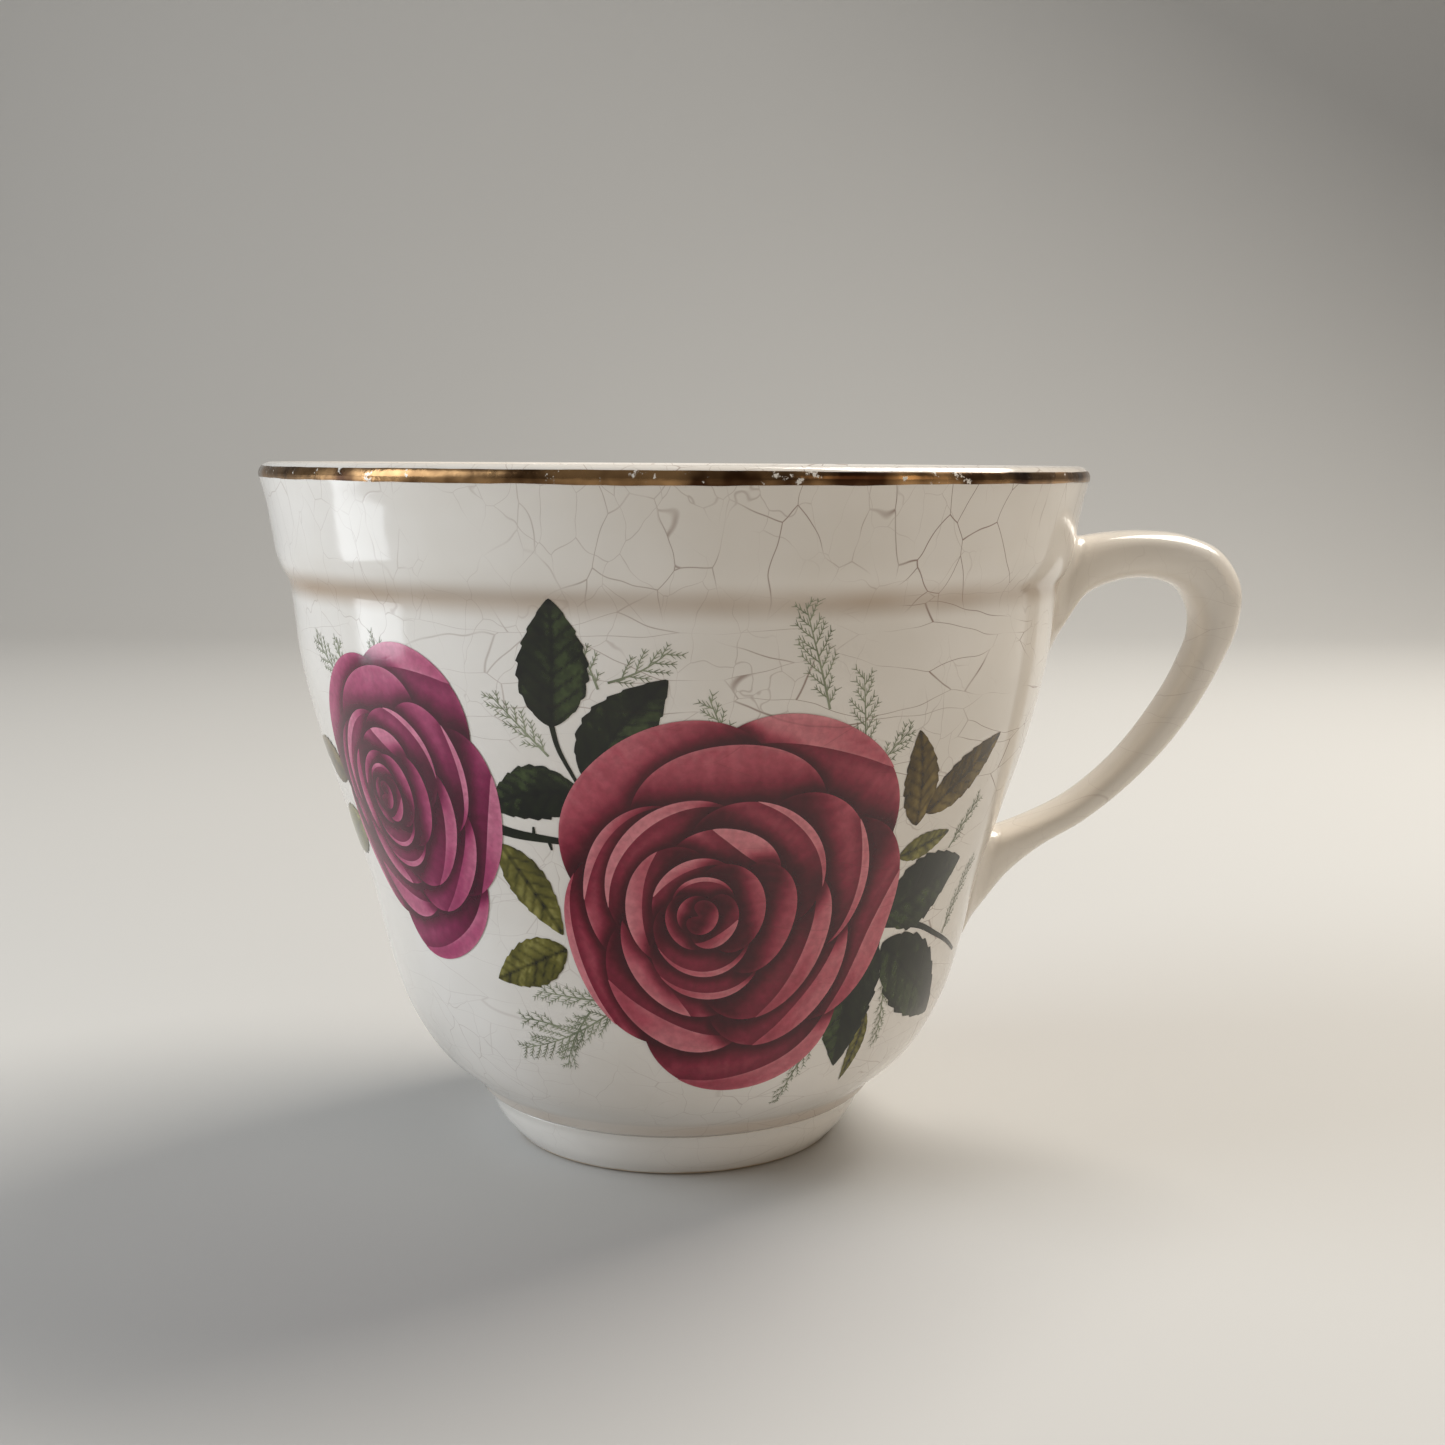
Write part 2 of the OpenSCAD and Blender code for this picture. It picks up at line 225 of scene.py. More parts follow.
class Nodes:
    """A material's node tree, and short calls for the nodes that it uses."""

    def __init__(self, name):
        self.material = bpy.data.materials.new(name)
        self.material.use_nodes = True
        self.tree = self.material.node_tree
        self.shader = self.tree.nodes["Principled BSDF"]
        self.where = self.add("ShaderNodeTexCoord").outputs["Object"]

    def add(self, kind, inputs=(), **settings):
        """A new node. inputs maps its sockets to values or to other nodes' sockets."""
        node = self.tree.nodes.new(kind)
        for key, value in settings.items():
            setattr(node, key, value)
        for key, value in dict(inputs).items():
            self.put(node.inputs[key], value)
        return node

    def put(self, socket, value):
        if isinstance(value, bpy.types.NodeSocket):
            self.tree.links.new(value, socket)
        else:
            socket.default_value = value

    def noise(self, scale, detail, roughness=0.55):
        """Soft random values about 0.5."""
        node = self.add("ShaderNodeTexNoise", {"Scale": scale, "Detail": detail, "Roughness": roughness,
                                               "Vector": self.where})
        return node.outputs["Fac"]

    def ramp(self, value, low, high, to_low=0.0, to_high=1.0):
        """A smooth step: to_low up to low, and to_high from high on."""
        node = self.add("ShaderNodeMapRange", {"Value": value, "From Min": low, "From Max": high,
                                               "To Min": to_low, "To Max": to_high})
        node.interpolation_type = "SMOOTHSTEP"
        return node.outputs["Result"]

    def maths(self, operation, a, b=0.0):
        return self.add("ShaderNodeMath", {0: a, 1: b}, operation=operation).outputs[0]

    def mix(self, share, a, b):
        """Two colours mixed. Sockets 0, 6 and 7 are the share and the colours, and output 2 is a colour."""
        return self.add("ShaderNodeMix", {0: share, 6: a, 7: b}, data_type="RGBA").outputs[2]

    def vector_maths(self, operation, a, b):
        return self.add("ShaderNodeVectorMath", {0: a, 1: b}, operation=operation).outputs[0]

    def warped(self, amount, scale, stretch):
        """Object coordinates pushed about by noise, then stretched."""
        push = self.add("ShaderNodeTexNoise", {"Scale": scale, "Detail": 2.0, "Vector": self.where})
        centred = self.vector_maths("SUBTRACT", push.outputs["Color"], (0.5, 0.5, 0.5))
        sized = self.vector_maths("MULTIPLY", centred, (amount,) * 3)
        return self.vector_maths("MULTIPLY", self.vector_maths("ADD", self.where, sized), stretch)

    def cracks(self, push, push_scale, stretch, scale, width):
        """Thin lines between the cells of a pattern, at warped coordinates."""
        where = self.warped(push, push_scale, stretch)
        cells = self.add("ShaderNodeTexVoronoi", {"Scale": scale, "Vector": where, "Randomness": 1.0},
                         feature="DISTANCE_TO_EDGE").outputs["Distance"]
        return self.ramp(cells, 0.0, width, 1.0, 0.0)

    def crazing(self, strength=1.0):
        """How strongly a crack in the glaze shows: long brown cracks, and a fine pale network."""
        place = self.add("ShaderNodeSeparateXYZ", {0: self.where}).outputs
        level, upright = self.cracks(*LEVEL_CRACKS), self.cracks(*UPRIGHT_CRACKS)
        on_collar = self.ramp(place["Z"], (collar_z - 2) * MM, (collar_z + 2) * MM)
        long_cracks = self.maths("MAXIMUM", self.maths("MULTIPLY", upright, on_collar),
                                 self.maths("MULTIPLY", level, self.maths("SUBTRACT", 1.0, on_collar)))
        fine_cracks = self.cracks(*FINE_CRACKS)
        fade = self.ramp(self.noise(75, 3.0), 0.40, 0.57)
        fine_fade = self.ramp(self.noise(95, 2.0), 0.40, 0.62)
        by_place = self.maths("MULTIPLY", self.ramp(place["X"], -0.030, 0.030, 0.35, 1.0),
                              self.ramp(place["Z"], 0.015, 0.042, 0.4, 1.0))
        strong = self.maths("MULTIPLY", self.maths("MULTIPLY", long_cracks, fade), by_place)
        faint = self.maths("MULTIPLY", self.maths("MULTIPLY", fine_cracks, fine_fade), 0.34)
        return self.maths("MULTIPLY", self.maths("MAXIMUM", strong, faint), strength)

    def smear(self, least, most):
        """A roughness that wanders between two values, as the shine of a glaze does."""
        return self.ramp(self.noise(90, 3.0), 0.35, 0.75, least, most)

    def bump(self, strength, distance, height):
        """A relief on the shader, from a height."""
        node = self.add("ShaderNodeBump", {"Strength": strength, "Distance": distance, "Height": height})
        self.put(self.shader.inputs["Normal"], node.outputs["Normal"])

    def glaze(self, colour, cracks, roughness=None):
        """A glossy glaze over a colour, with a slight ripple and cracks that catch the light."""
        if roughness is None:
            roughness = self.smear(0.072, 0.153)
        self.put(self.shader.inputs["Base Color"], colour)
        self.put(self.shader.inputs["Roughness"], roughness)
        self.shader.inputs["IOR"].default_value = 1.52
        ripple = self.noise(260, 2.0)
        self.bump(0.05, 0.0004, self.maths("SUBTRACT", ripple, self.maths("MULTIPLY", cracks, 0.6)))
        return self.material


def stained_and_shaded(n, colour):
    """A colour with the brown bands over it, on the outside of the wall only: real staining, with painted
    shade of the creases in it.
    """
    x, y, height = n.add("ShaderNodeSeparateXYZ", {0: n.where}).outputs
    radius = n.maths("SQRT", n.maths("ADD", n.maths("POWER", x, 2.0), n.maths("POWER", y, 2.0)))
    patchy = n.ramp(n.noise(45, 2.0), 0.3, 0.7, 0.4, 0.8)
    for level, reach, share in STAIN_AND_SHADE_BANDS:
        outside = float(wall_radius(level)) - stain_and_shade_depth
        distance = n.maths("ABSOLUTE", n.maths("SUBTRACT", height, level * MM))
        band = n.maths("MULTIPLY", n.ramp(distance, 0.0, reach * MM, share, 0.0), patchy)
        band = n.maths("MULTIPLY", band, n.ramp(radius, (outside - 0.4) * MM, outside * MM))
        colour = n.mix(band, colour, STAIN_AND_SHADE_BROWN)
    return colour


def glazed_body_material(name, warm=0.0, stain_and_shade=True, crazed=1.0):
    """Off-white earthenware under a crazed glaze, a little uneven, and with brown bands of staining and
    painted crease shade if asked.
    """
    n = Nodes(name)
    pale, dull = srgb(0.925, 0.905, 0.88), srgb(0.885, 0.86, 0.825)
    colour = n.mix(n.ramp(n.noise(38, 4.0), 0.3, 0.7), dull, pale)
    if warm:
        colour = n.mix(warm, colour, srgb(0.93, 0.89, 0.82))
    # brown bands in the creases: staining, and painted shade
    if stain_and_shade:
        colour = stained_and_shaded(n, colour)
    cracks = n.crazing(crazed)
    colour = n.mix(n.maths("MULTIPLY", cracks, 0.85), colour, CRACK_BROWN)
    return n.glaze(colour, cracks)


def foot_material():
    """The glazed foot ring, with a bare, slightly grubby tread."""
    n = Nodes("glazed_foot")
    height = n.add("ShaderNodeSeparateXYZ", {0: n.where}).outputs["Z"]
    edge = n.maths("ADD", height, n.maths("MULTIPLY", n.noise(300, 2.0), 0.0004))
    bare = n.ramp(edge, 0.0003, 0.0007, 1.0, 0.0)
    pale = n.mix(n.ramp(n.noise(38, 4.0), 0.3, 0.7), srgb(0.885, 0.865, 0.835), srgb(0.93, 0.91, 0.885))
    biscuit = n.mix(n.noise(700, 3.0), srgb(0.80, 0.72, 0.60), srgb(0.66, 0.56, 0.45))
    cracks = n.crazing()
    glazed = n.mix(n.maths("MULTIPLY", cracks, 0.35), pale, CRACK_BROWN)
    roughness = n.maths("MAXIMUM", n.smear(0.07, 0.15), n.maths("MULTIPLY", bare, 0.85))
    return n.glaze(n.mix(bare, glazed, biscuit), cracks, roughness)


def gold_material():
    """Worn burnished gold: it thins to the glaze in spots, and its tone wanders between a dark brown, a
    painted reflection of dark surroundings, and a pale gold, a painted glint.
    """
    n = Nodes("worn_gold_painted_reflections")
    worn = n.ramp(n.noise(520, 4.0, roughness=0.7), 0.61, 0.66)
    # painted reflection: the dark brown stands for dark surroundings mirrored in the gold, and the pale gold
    # for glints
    tone = n.mix(n.ramp(n.noise(150, 3.0), 0.35, 0.65), srgb(0.24, 0.15, 0.09), srgb(0.70, 0.55, 0.38))
    n.put(n.shader.inputs["Base Color"], n.mix(worn, tone, srgb(0.90, 0.88, 0.85)))
    n.put(n.shader.inputs["Metallic"], n.ramp(worn, 0.0, 1.0, 1.0, 0.0))
    n.put(n.shader.inputs["Roughness"], n.ramp(n.noise(200, 3.0), 0.3, 0.7, 0.16, 0.34))
    n.bump(0.25, 0.0002, n.noise(900, 2.0))
    return n.material


def print_material(name, crack_show, speckling):
    """A ceramic transfer under the glaze: painted colours, a printed speckle, and the same cracks."""
    n = Nodes(name)
    painted = n.add("ShaderNodeVertexColor", layer_name="paint").outputs["Color"]
    speckle = n.ramp(n.noise(1500, 2.0), 0.3, 0.7, 1.0 - speckling, 1.0 + speckling)
    level = n.add("ShaderNodeHueSaturation", {"Color": painted, "Value": speckle}).outputs["Color"]
    cracks = n.crazing()
    colour = n.mix(n.maths("MULTIPLY", cracks, crack_show), level, srgb(0.30, 0.17, 0.14))
    return n.glaze(colour, cracks)


body_glaze = glazed_body_material("crazed_glaze")
handle_glaze = glazed_body_material("handle_glaze", warm=0.2, stain_and_shade=False, crazed=0.25)
foot_glaze = foot_material()
gold = gold_material()
rose_print = print_material("rose_transfer", 0.30, 0.10)
side_rose_print = print_material("side_rose_transfer", 0.25, 0.10)
leaf_print = print_material("leaf_transfer", 0.20, 0.14)
fern_print = print_material("fern_transfer", 0.40, 0.08)


# ---- the bowl and its foot

def bowl_profile():
    """Closed outline of the bowl, from the middle of its underside round to the middle of its floor."""
    underside = [(r, foot_height) for r in (0, 6, 12, 16, seam_radius - 1.4)]
    groove = spline([(seam_radius - 1.2, foot_height), (seam_radius - 0.62, foot_height + 0.35),
                     (seam_radius - 0.25, foot_height + 0.85)], 4)
    lip = arc((lip_outer - lip_rounding, lip_z), lip_rounding, 8, 172, 24)
    belly = [(17.0, 0.85), (14.0, 0.64), (10.6, 0.43), (8.6, 0.28), (5.2, 0.15)]
    floor = [(seam_radius - 3.5, floor_z + 1.5), (seam_radius / 2, floor_z + 0.2), (0, floor_z)]
    inner_face = spline([(lip_outer - 2 * lip_rounding, lip_z), (lip_outer - 3.34, collar_z + 5)]
                        + [(seam_radius + out - wall_thickness, seam_z + up * wall_span) for out, up in belly]
                        + floor, 9)
    return [*underside, *groove, *evenly(outer_wall, 0.45), *lip, *inner_face]


def foot_profile():
    """Closed outline of the foot ring: an upright face with a slight taper and a rounded tread."""
    top = half_width("foot_ring")
    outer = top - 3.0
    inner = outer - 3.0
    tread = 0.8                               # radius of the rounded tread
    tread_edge = arc((outer - tread, tread), tread, 270, 315, 5)
    outer_face = spline([tread_edge[-1], (outer + 1.3, 0.38 * foot_height), (outer + 2.2, 0.68 * foot_height),
                         (outer + 2.6, 0.86 * foot_height), (top, foot_height)], 6)
    inner_face = spline([(inner - 1.6, foot_height), (inner - 0.9, foot_height - 0.5),
                         (inner - 0.25, foot_height - 1.8), (inner, tread)], 6)
    return [*inner_face[:-1], *arc((inner + tread, tread), tread, 180, 270, 6), *tread_edge[:-1], *outer_face,
            (top - 1.5, foot_height), (inner - 1.0, foot_height), inner_face[0]]


make_piece("bowl_visual", *lathe(bowl_profile(), 400), body_glaze, "glazed_body", "bowl")
make_piece("foot_ring_visual", *lathe(foot_profile(), 320), foot_glaze, "glazed_body", "foot_ring")


# ---- the handle: stations [outer x, outer z, inner x, inner z, half width], as in the CAD

half_strap = half_width("handle")
handle_stations = np.array([
    (38.0, 63.6, 36.0, 46.0, 1.0), (43.2, 64.2, 40.7, 54.0, 0.98), (46.0, 64.6, 43.0, 57.6, 0.96),
    (50.0, 64.8, 46.6, 59.4, 0.94), (54.2, 64.3, 50.6, 59.7, 0.93), (57.9, 62.6, 53.6, 58.6, 0.93),
    (60.0, 59.2, 55.0, 56.4, 0.94), (59.9, 55.2, 55.2, 53.6, 0.94), (58.2, 50.8, 54.1, 50.4, 0.92),
    (54.7, 44.5, 51.7, 46.0, 0.88), (49.6, 38.4, 47.4, 40.3, 0.85), (43.8, 33.5, 42.2, 35.9, 0.84),
    (38.9, 30.5, 37.6, 33.6, 0.87), (35.6, 27.6, 34.4, 32.5, 0.91), (32.8, 24.0, 32.4, 32.2, 0.95),
    (27.5, 18.5, 28.0, 32.4, 1.0)])
handle_stations[:, 4] *= half_strap
strap_squareness = 2.7
strap_sides = 72
strap_steps = 14                              # rings of the strap from one station to the next
strap_curve = spline(handle_stations, strap_steps)
strap_inset = 0.02                            # keeps the strap just inside its CAD box
embed = 0.8                                   # how far the handle's ends reach into the wall
joint_depth = 0.5                             # how far the slip reaches into the wall


def strap_ring(station, grow=0.0):
    """One ring of the strap, a rounded rectangle between a station's outer and inner points."""
    outer, inner = station[:2], station[2:4]
    across = (outer - inner) / np.linalg.norm(outer - inner)
    middle = (outer + inner) / 2
    a = 2 * math.pi * np.arange(strap_sides) / strap_sides
    power = 2 / strap_squareness
    u = (np.linalg.norm(outer - inner) / 2 + grow) * np.sign(np.cos(a)) * np.abs(np.cos(a)) ** power
    v = (station[4] + grow) * np.sign(np.sin(a)) * np.abs(np.sin(a)) ** power
    return np.stack([middle[0] + u * across[0], v, middle[1] + u * across[1]], 1)


def off_wall(points):
    """How far points stand out of the wall, along the radius."""
    return np.hypot(points[..., 0], points[..., 1]) - wall_radius(points[..., 2])


def held_out(points, depth):
    """Points, with those deeper in the wall than depth brought out to that depth."""
    radius = np.hypot(points[:, 0], points[:, 1])
    least = wall_radius(points[:, 2]) - depth
    scale = np.maximum(1, least / radius)
    return points * np.stack([scale, scale, np.ones_like(scale)], 1)


def handle():
    """The strap, with a flat face at each end inside the wall."""
    rings = [held_out(strap_ring(station, -strap_inset), embed) for station in strap_curve]
    faces = grid_faces(len(rings), strap_sides, True)
    last = (len(rings) - 1) * strap_sides
    faces.append(list(range(strap_sides))[::-1])
    faces.append([last + k for k in range(strap_sides)])
    make_piece("handle_visual", np.vstack(rings), faces, handle_glaze, "glazed_body", "handle")


def handle_joint(name, stations, replaced):
    """The slip round a handle's end: it flares over its reach, from the strap down to the wall."""
    reach, flare, clearance = 1.5, 0.95, 0.02
    plain = np.array([strap_ring(s) for s in stations])
    grown = np.array([strap_ring(s, 1.0) for s in stations])
    depth = off_wall(plain)
    rows = []
    for away in [-joint_depth, -0.2, *np.linspace(0, reach, 9)]:
        swell = flare * (1 - max(away, 0) / reach) ** 2 + clearance
        row = []
        for k in range(strap_sides):
            order = np.argsort(depth[:, k])
            at = [np.interp(away, depth[order, k], plain[order, k, i]) for i in range(3)]
            out = [np.interp(away, depth[order, k], grown[order, k, i]) for i in range(3)]
            row.append(np.array(at) + swell * (np.array(out) - at))
        rows.append(held_out(np.array(row), joint_depth) if away < 0 else np.array(row))
    faces = grid_faces(len(rows), strap_sides, True)
    make_piece(name, np.vstack(rows), faces, handle_glaze, "slip_joint", replaced)


handle()
handle_joint("upper_joint_visual", strap_curve[:3 * strap_steps], "upper_handle_joint")
handle_joint("lower_joint_visual", strap_curve[:-4 * strap_steps:-1], "lower_handle_joint")


# ---- the gilt line

def wander(angles, seed, waves):
    """A smooth closed wobble between -1 and 1, the same each run."""
    rng = np.random.default_rng(seed)
    total = sum(rng.uniform(0.4, 1) / math.sqrt(k) * np.sin(k * angles + rng.uniform(0, 6.28)) for k in waves)
    return total / np.abs(total).max()


def gilt_line():
    """A band over the lip's outer side, whose two edges wander."""
    segments, rows, lift = 900, 10, 0.03
    crown = arc((lip_outer - lip_rounding, lip_z), lip_rounding, 6, 90, 20)
    skin = np.vstack([outer_wall[outer_wall[:, 1] < lip_z], crown])
    run = run_along(skin)
    low, high = (corner.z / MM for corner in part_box("gilt_rim_line"))
    angles = np.linspace(0, 2 * math.pi, segments, endpoint=False)
    lower = low + 0.17 + 0.15 * wander(angles, 3, (2, 3, 7, 13, 23, 41, 67))
    upper = high - 0.11 + 0.09 * wander(angles, 5, (1, 4, 9, 17, 31, 57))
    points, normals = [], []
    for k in range(rows):
        z = lower + (upper - lower) * k / (rows - 1)
        r, _, out, up = with_normals(skin, run, np.interp(z, skin[:, 1], run), step=0.05)
        r = r + lift * out
        points.append(np.stack([r * np.cos(angles), r * np.sin(angles), z + lift * up], 1))
        normals.append(np.stack([out * np.cos(angles), out * np.sin(angles), up], 1))
    make_piece("gilt_line_visual", np.vstack(points), grid_faces(rows, segments, True), gold, "gold",
               "gilt_rim_line", np.vstack(normals))


gilt_line()


# ---- drawing on the sheet, which has u round the wall and v up along it

SIDES = (("front", 0), ("back", math.pi))     # each transfer's side of the cup, and its turn

# How far each film stands off the wall, and the size of its triangles: inside, and along its edges
rose_lift, leaf_lift, fern_lift = 0.07, 0.045, 0.02
rose_grid, rose_edge = 0.42, 0.35
leaf_grid, leaf_edge = 0.26, 0.3


def inside(points, loop):
    """Which points lie inside a closed loop."""
    x, y = points[:, 0][:, None], points[:, 1][:, None]
    ax, ay = loop[:, 0], loop[:, 1]
    bx, by = np.roll(ax, -1), np.roll(ay, -1)
    crosses = ((ay > y) != (by > y)) & (x < (bx - ax) * (y - ay) / (by - ay + 1e-12) + ax)
    return crosses.sum(1) % 2 == 1


def distance_to(points, loop):
    """Distance from each point to a closed loop."""
    a, b = loop, np.roll(loop, -1, axis=0)
    along = b - a
    t = np.clip(((points[:, None] - a) * along).sum(2) / (along ** 2).sum(1), 0, 1)
    return np.linalg.norm(points[:, None] - a - t[..., None] * along, axis=2).min(1)


def grain(points, scale_u, scale_v, seed):
    """Smooth random values from -1 to 1 over the sheet."""
    q = points / np.array([scale_u, scale_v]) + 100
    cell, f = np.floor(q).astype(int), q - np.floor(q)
    f = f * f * (3 - 2 * f)

    def value(i, j):
        """A fixed random value for a corner of each point's cell."""
        h = np.sin((cell[:, 0] + i) * 127.1 + (cell[:, 1] + j) * 311.7 + seed * 74.7) * 43758.5453
        return 2 * (h - np.floor(h)) - 1

    low = value(0, 0) * (1 - f[:, 0]) + value(1, 0) * f[:, 0]
    high = value(0, 1) * (1 - f[:, 0]) + value(1, 1) * f[:, 0]
    return low * (1 - f[:, 1]) + high * f[:, 1]


def anticlockwise(loop):
    """A loop, turned round if it runs clockwise, as the triangulation needs."""
    x, y = loop.T
    area = (x * np.roll(y, -1) - np.roll(x, -1) * y).sum()
    return loop if area > 0 else loop[::-1]


def flat_mesh(loops, spacing):
    """One flat layer of triangles for overlapping loops: points, triangles, and each one's top loop."""
    loops = [anticlockwise(loop) for loop in loops]
    low = np.min([loop.min(0) for loop in loops], 0)
    high = np.max([loop.max(0) for loop in loops], 0)
    row_gap = spacing * 0.87                  # the height of an even triangle
    rows = int((high[1] - low[1]) / row_gap) + 1
    columns = int((high[0] - low[0]) / spacing) + 1
    grid = np.array([(low[0] + spacing * (i + 0.5 * (j % 2) + 0.1), low[1] + row_gap * (j + 0.1))
                     for j in range(rows) for i in range(columns)])
    keep = np.zeros(len(grid), bool)
    for loop in loops:
        keep |= inside(grid, loop)
    points, rings = [tuple(p) for p in grid[keep]], []
    for loop in loops:
        start = len(points)
        points.extend(tuple(p) for p in loop)
        rings.append(list(range(start, len(points))))
    vectors = [Vector(p) for p in points]
    places, _, faces, _, _, face_loops = delaunay_2d_cdt(vectors, [], rings, 1, 1e-4, True)
    flat = np.array([tuple(p) for p in places])
    triangles, top = [], []
    for face, owners in zip(faces, face_loops):
        if owners:
            triangles.append(tuple(face))
            top.append(max(owners))
    return flat, np.array(triangles), np.array(top)


def paint(piece, colours):
    """Linear colours for a piece, one at each corner of each face, which its material reads."""
    rgba = np.ones((len(colours), 4), np.float32)
    rgba[:, :3] = colours
    attribute = piece.data.color_attributes.new("paint", "FLOAT_COLOR", "CORNER")
    attribute.data.foreach_set("color", rgba.ravel())


def painted_film(name, layer, colours, lift, turn, material, slot, replaced):
    """A film on the wall from a flat layer, with a colour at each corner of each triangle."""
    flat, triangles, _ = layer
    used, triangles = np.unique(triangles, return_inverse=True)
    points, normals = on_wall(flat[used], lift, turn)
    piece = make_piece(name, points, triangles.reshape(-1, 3), material, slot, replaced, normals)
    paint(piece, colours)


def blend_stops(t, stops):
    """Linear colours along a list of (share, sRGB colour)."""
    at = [s for s, _ in stops]
    table = np.array([srgb(*c)[:3] for _, c in stops])
    return np.stack([np.interp(t, at, table[:, i]) for i in range(3)], 1)


# ---- roses: [middle u, middle v, half width, half height, lean, way of the first petal], as in the
# CAD, and then how far the bud lies from the middle

LARGE_ROSE = (6.4, 28.6, 18.8, 19.6, 0, 60, (-4.6, -1.2))
SIDE_ROSE = (-28, 37.2, 12.2, 16.2, -12, 78, (-3.4, 0.4))
outer_petals = 5
petal_spread = 62                             # half of an outer petal's fan, in degrees
petal_squareness = 2.6                        # how blunt a petal's end is
petal_variety = 0.05                          # how much the petals' reach differs

# Rings of petals from the outside in: [share of the rose's size, petals, turn, roll of the lip]
RINGS = [(1.00, outer_petals, 0, 0.13), (0.80, 5, 34, 0.16), (0.62, 4, 82, 0.20), (0.46, 4, 20, 0.24),
         (0.32, 3, 75, 0.26), (0.20, 3, 30, 0.30), (0.11, 2, 95, 0.0)]


def on_rose(rose, share, way, reach):
    """Sheet points of a ring of a rose, at a way in degrees and a reach in shares of the ring's size."""
    lean, way = math.radians(rose[4]), np.radians(way)
    x, y = rose[2] * share * reach * np.cos(way), rose[3] * share * reach * np.sin(way)
    shift = (1 - share) * np.array(rose[6])
    return np.stack([rose[0] + shift[0] + x * math.cos(lean) - y * math.sin(lean),
                     rose[1] + shift[1] + x * math.sin(lean) + y * math.cos(lean)], -1)


def petal_edge(s, reach):
    """How far a petal's edge reaches, at s from -1 to 1 across its fan."""
    return reach * (1 - np.abs(s) ** petal_squareness) ** (1 / petal_squareness)


def rose_petals(rose):
    """A rose's petals and their rolled lips, from the back to the front: for each, its loop, where it
    is lightest and darkest, those two tones, and how strong a shadow it throws."""
    shapes = []
    for ring, (share, petals, turn, roll) in enumerate(RINGS):
        following = RINGS[ring + 1][0] / share if ring + 1 < len(RINGS) else 0.3
        for k in range(petals):
            way = rose[5] + turn + 360 / petals * k
            spread = petal_spread * outer_petals / petals
            vary = math.sin(math.radians(150 * k + 77 * ring))
            reach = 1 + petal_variety * vary
            s = np.linspace(-1, 1, 49)[:-1]
            body = on_rose(rose, share, way + spread * s, petal_edge(s, reach))
            rim, base = (on_rose(rose, share, way, r) for r in (0.94 * reach, following * 0.80))
            facing = 0.07 * math.cos(math.radians(way - 120))
            shapes.append((body, rim, base, 0.66 + facing, 0.12, 0.82))
            if roll and (k + ring) % 5 != 1:      # here and there a petal's lip isn't rolled
                middle = 0.26 * math.cos(2.1 * k + ring)
                half = 0.54 + 0.12 * vary
                x = np.linspace(-1, 1, 25)
                s = middle + half * x
                depth = roll * (0.70 + 0.40 * math.cos(1.7 * k + 2 * ring)) * (1 - x ** 2) ** 0.9
                outer = on_rose(rose, share, way + spread * s, petal_edge(s, reach) * 1.004)
                inner = on_rose(rose, share, way + spread * s, petal_edge(s, reach) * (1 - depth))
                lip = np.vstack([outer, inner[-2:0:-1]])
                shapes.append((lip, inner[12], outer[2], 0.86 + facing, 0.66 + facing, 0.45))
    return shapes


ROSE_TONES = [(0.0, (0.20, 0.00, 0.05)), (0.15, (0.33, 0.02, 0.10)), (0.4, (0.51, 0.12, 0.21)),
              (0.7, (0.69, 0.30, 0.36)), (1.0, (0.83, 0.52, 0.55))]
SIDE_ROSE_TONES = [(0.0, (0.22, 0.01, 0.10)), (0.15, (0.34, 0.03, 0.17)), (0.4, (0.49, 0.09, 0.28)),
                   (0.7, (0.66, 0.26, 0.42)), (1.0, (0.82, 0.50, 0.60))]


def rose_colours(layer, petals, loops, tones, seed):
    """Colours at each corner of each triangle: a petal's own shading, and shadow from what lies over it."""
    flat, triangles, top = layer
    corners = flat[triangles.ravel()]
    owner = np.repeat(top, 3)
    tone = np.zeros(len(corners))
    for k, (_, light, dark, high, low, _) in enumerate(petals):
        mine = owner == k
        if not mine.any():
            continue
        p = corners[mine]
        way = np.subtract(dark, light)
        t = np.clip(((p - light) @ way) / (way @ way), 0, 1)
        value = high + (low - high) * t * t * (3 - 2 * t)
        side = np.array([-way[1], way[0]]) / np.linalg.norm(way)
        streak = grain(np.stack([p @ side, p @ way / np.linalg.norm(way)], 1), 0.45, 3.5, seed + k)
        value += 0.045 * streak + 0.03 * grain(p, 0.5, 0.5, seed + 50)
        value += 0.10 * np.exp(-(distance_to(p, loops[k]) / 0.22) ** 2)
        shade = np.zeros(len(p))
        for j in range(k + 1, len(petals)):
            near = np.abs(p - loops[j].mean(0)).max(1) < np.ptp(loops[j], axis=0).max() / 2 + 4
            if near.any():
                d = distance_to(p[near], loops[j])
                shade[near] = np.maximum(shade[near], petals[j][5] * np.exp(-(d / 0.95) ** 2))
        tone[mine] = value * (1 - shade)
    return blend_stops(np.clip(tone, 0, 1), tones)


def rose_prints(kind, petals, tones, material, slot, seed):
    """A rose's film on the front of the cup, and the same one turned half round on the back."""
    loops = [evenly(outline, rose_edge, closed=True) for outline, *_ in petals]
    layer = flat_mesh(loops, rose_grid)
    colours = rose_colours(layer, petals, loops, tones, seed)
    for side, turn in SIDES:
        painted_film(f"{side}_{kind}", layer, colours, rose_lift, turn, material, slot,
                     f"{side}_{kind}_print")


rose_prints("large_rose", rose_petals(LARGE_ROSE), ROSE_TONES, rose_print, "rose_transfer", 11)
rose_prints("side_rose", rose_petals(SIDE_ROSE), SIDE_ROSE_TONES, side_rose_print, "side_rose_transfer", 23)


# ---- leaves: [base u, base v, tip u, tip v, width, bow, tone], and stems: [path, width]

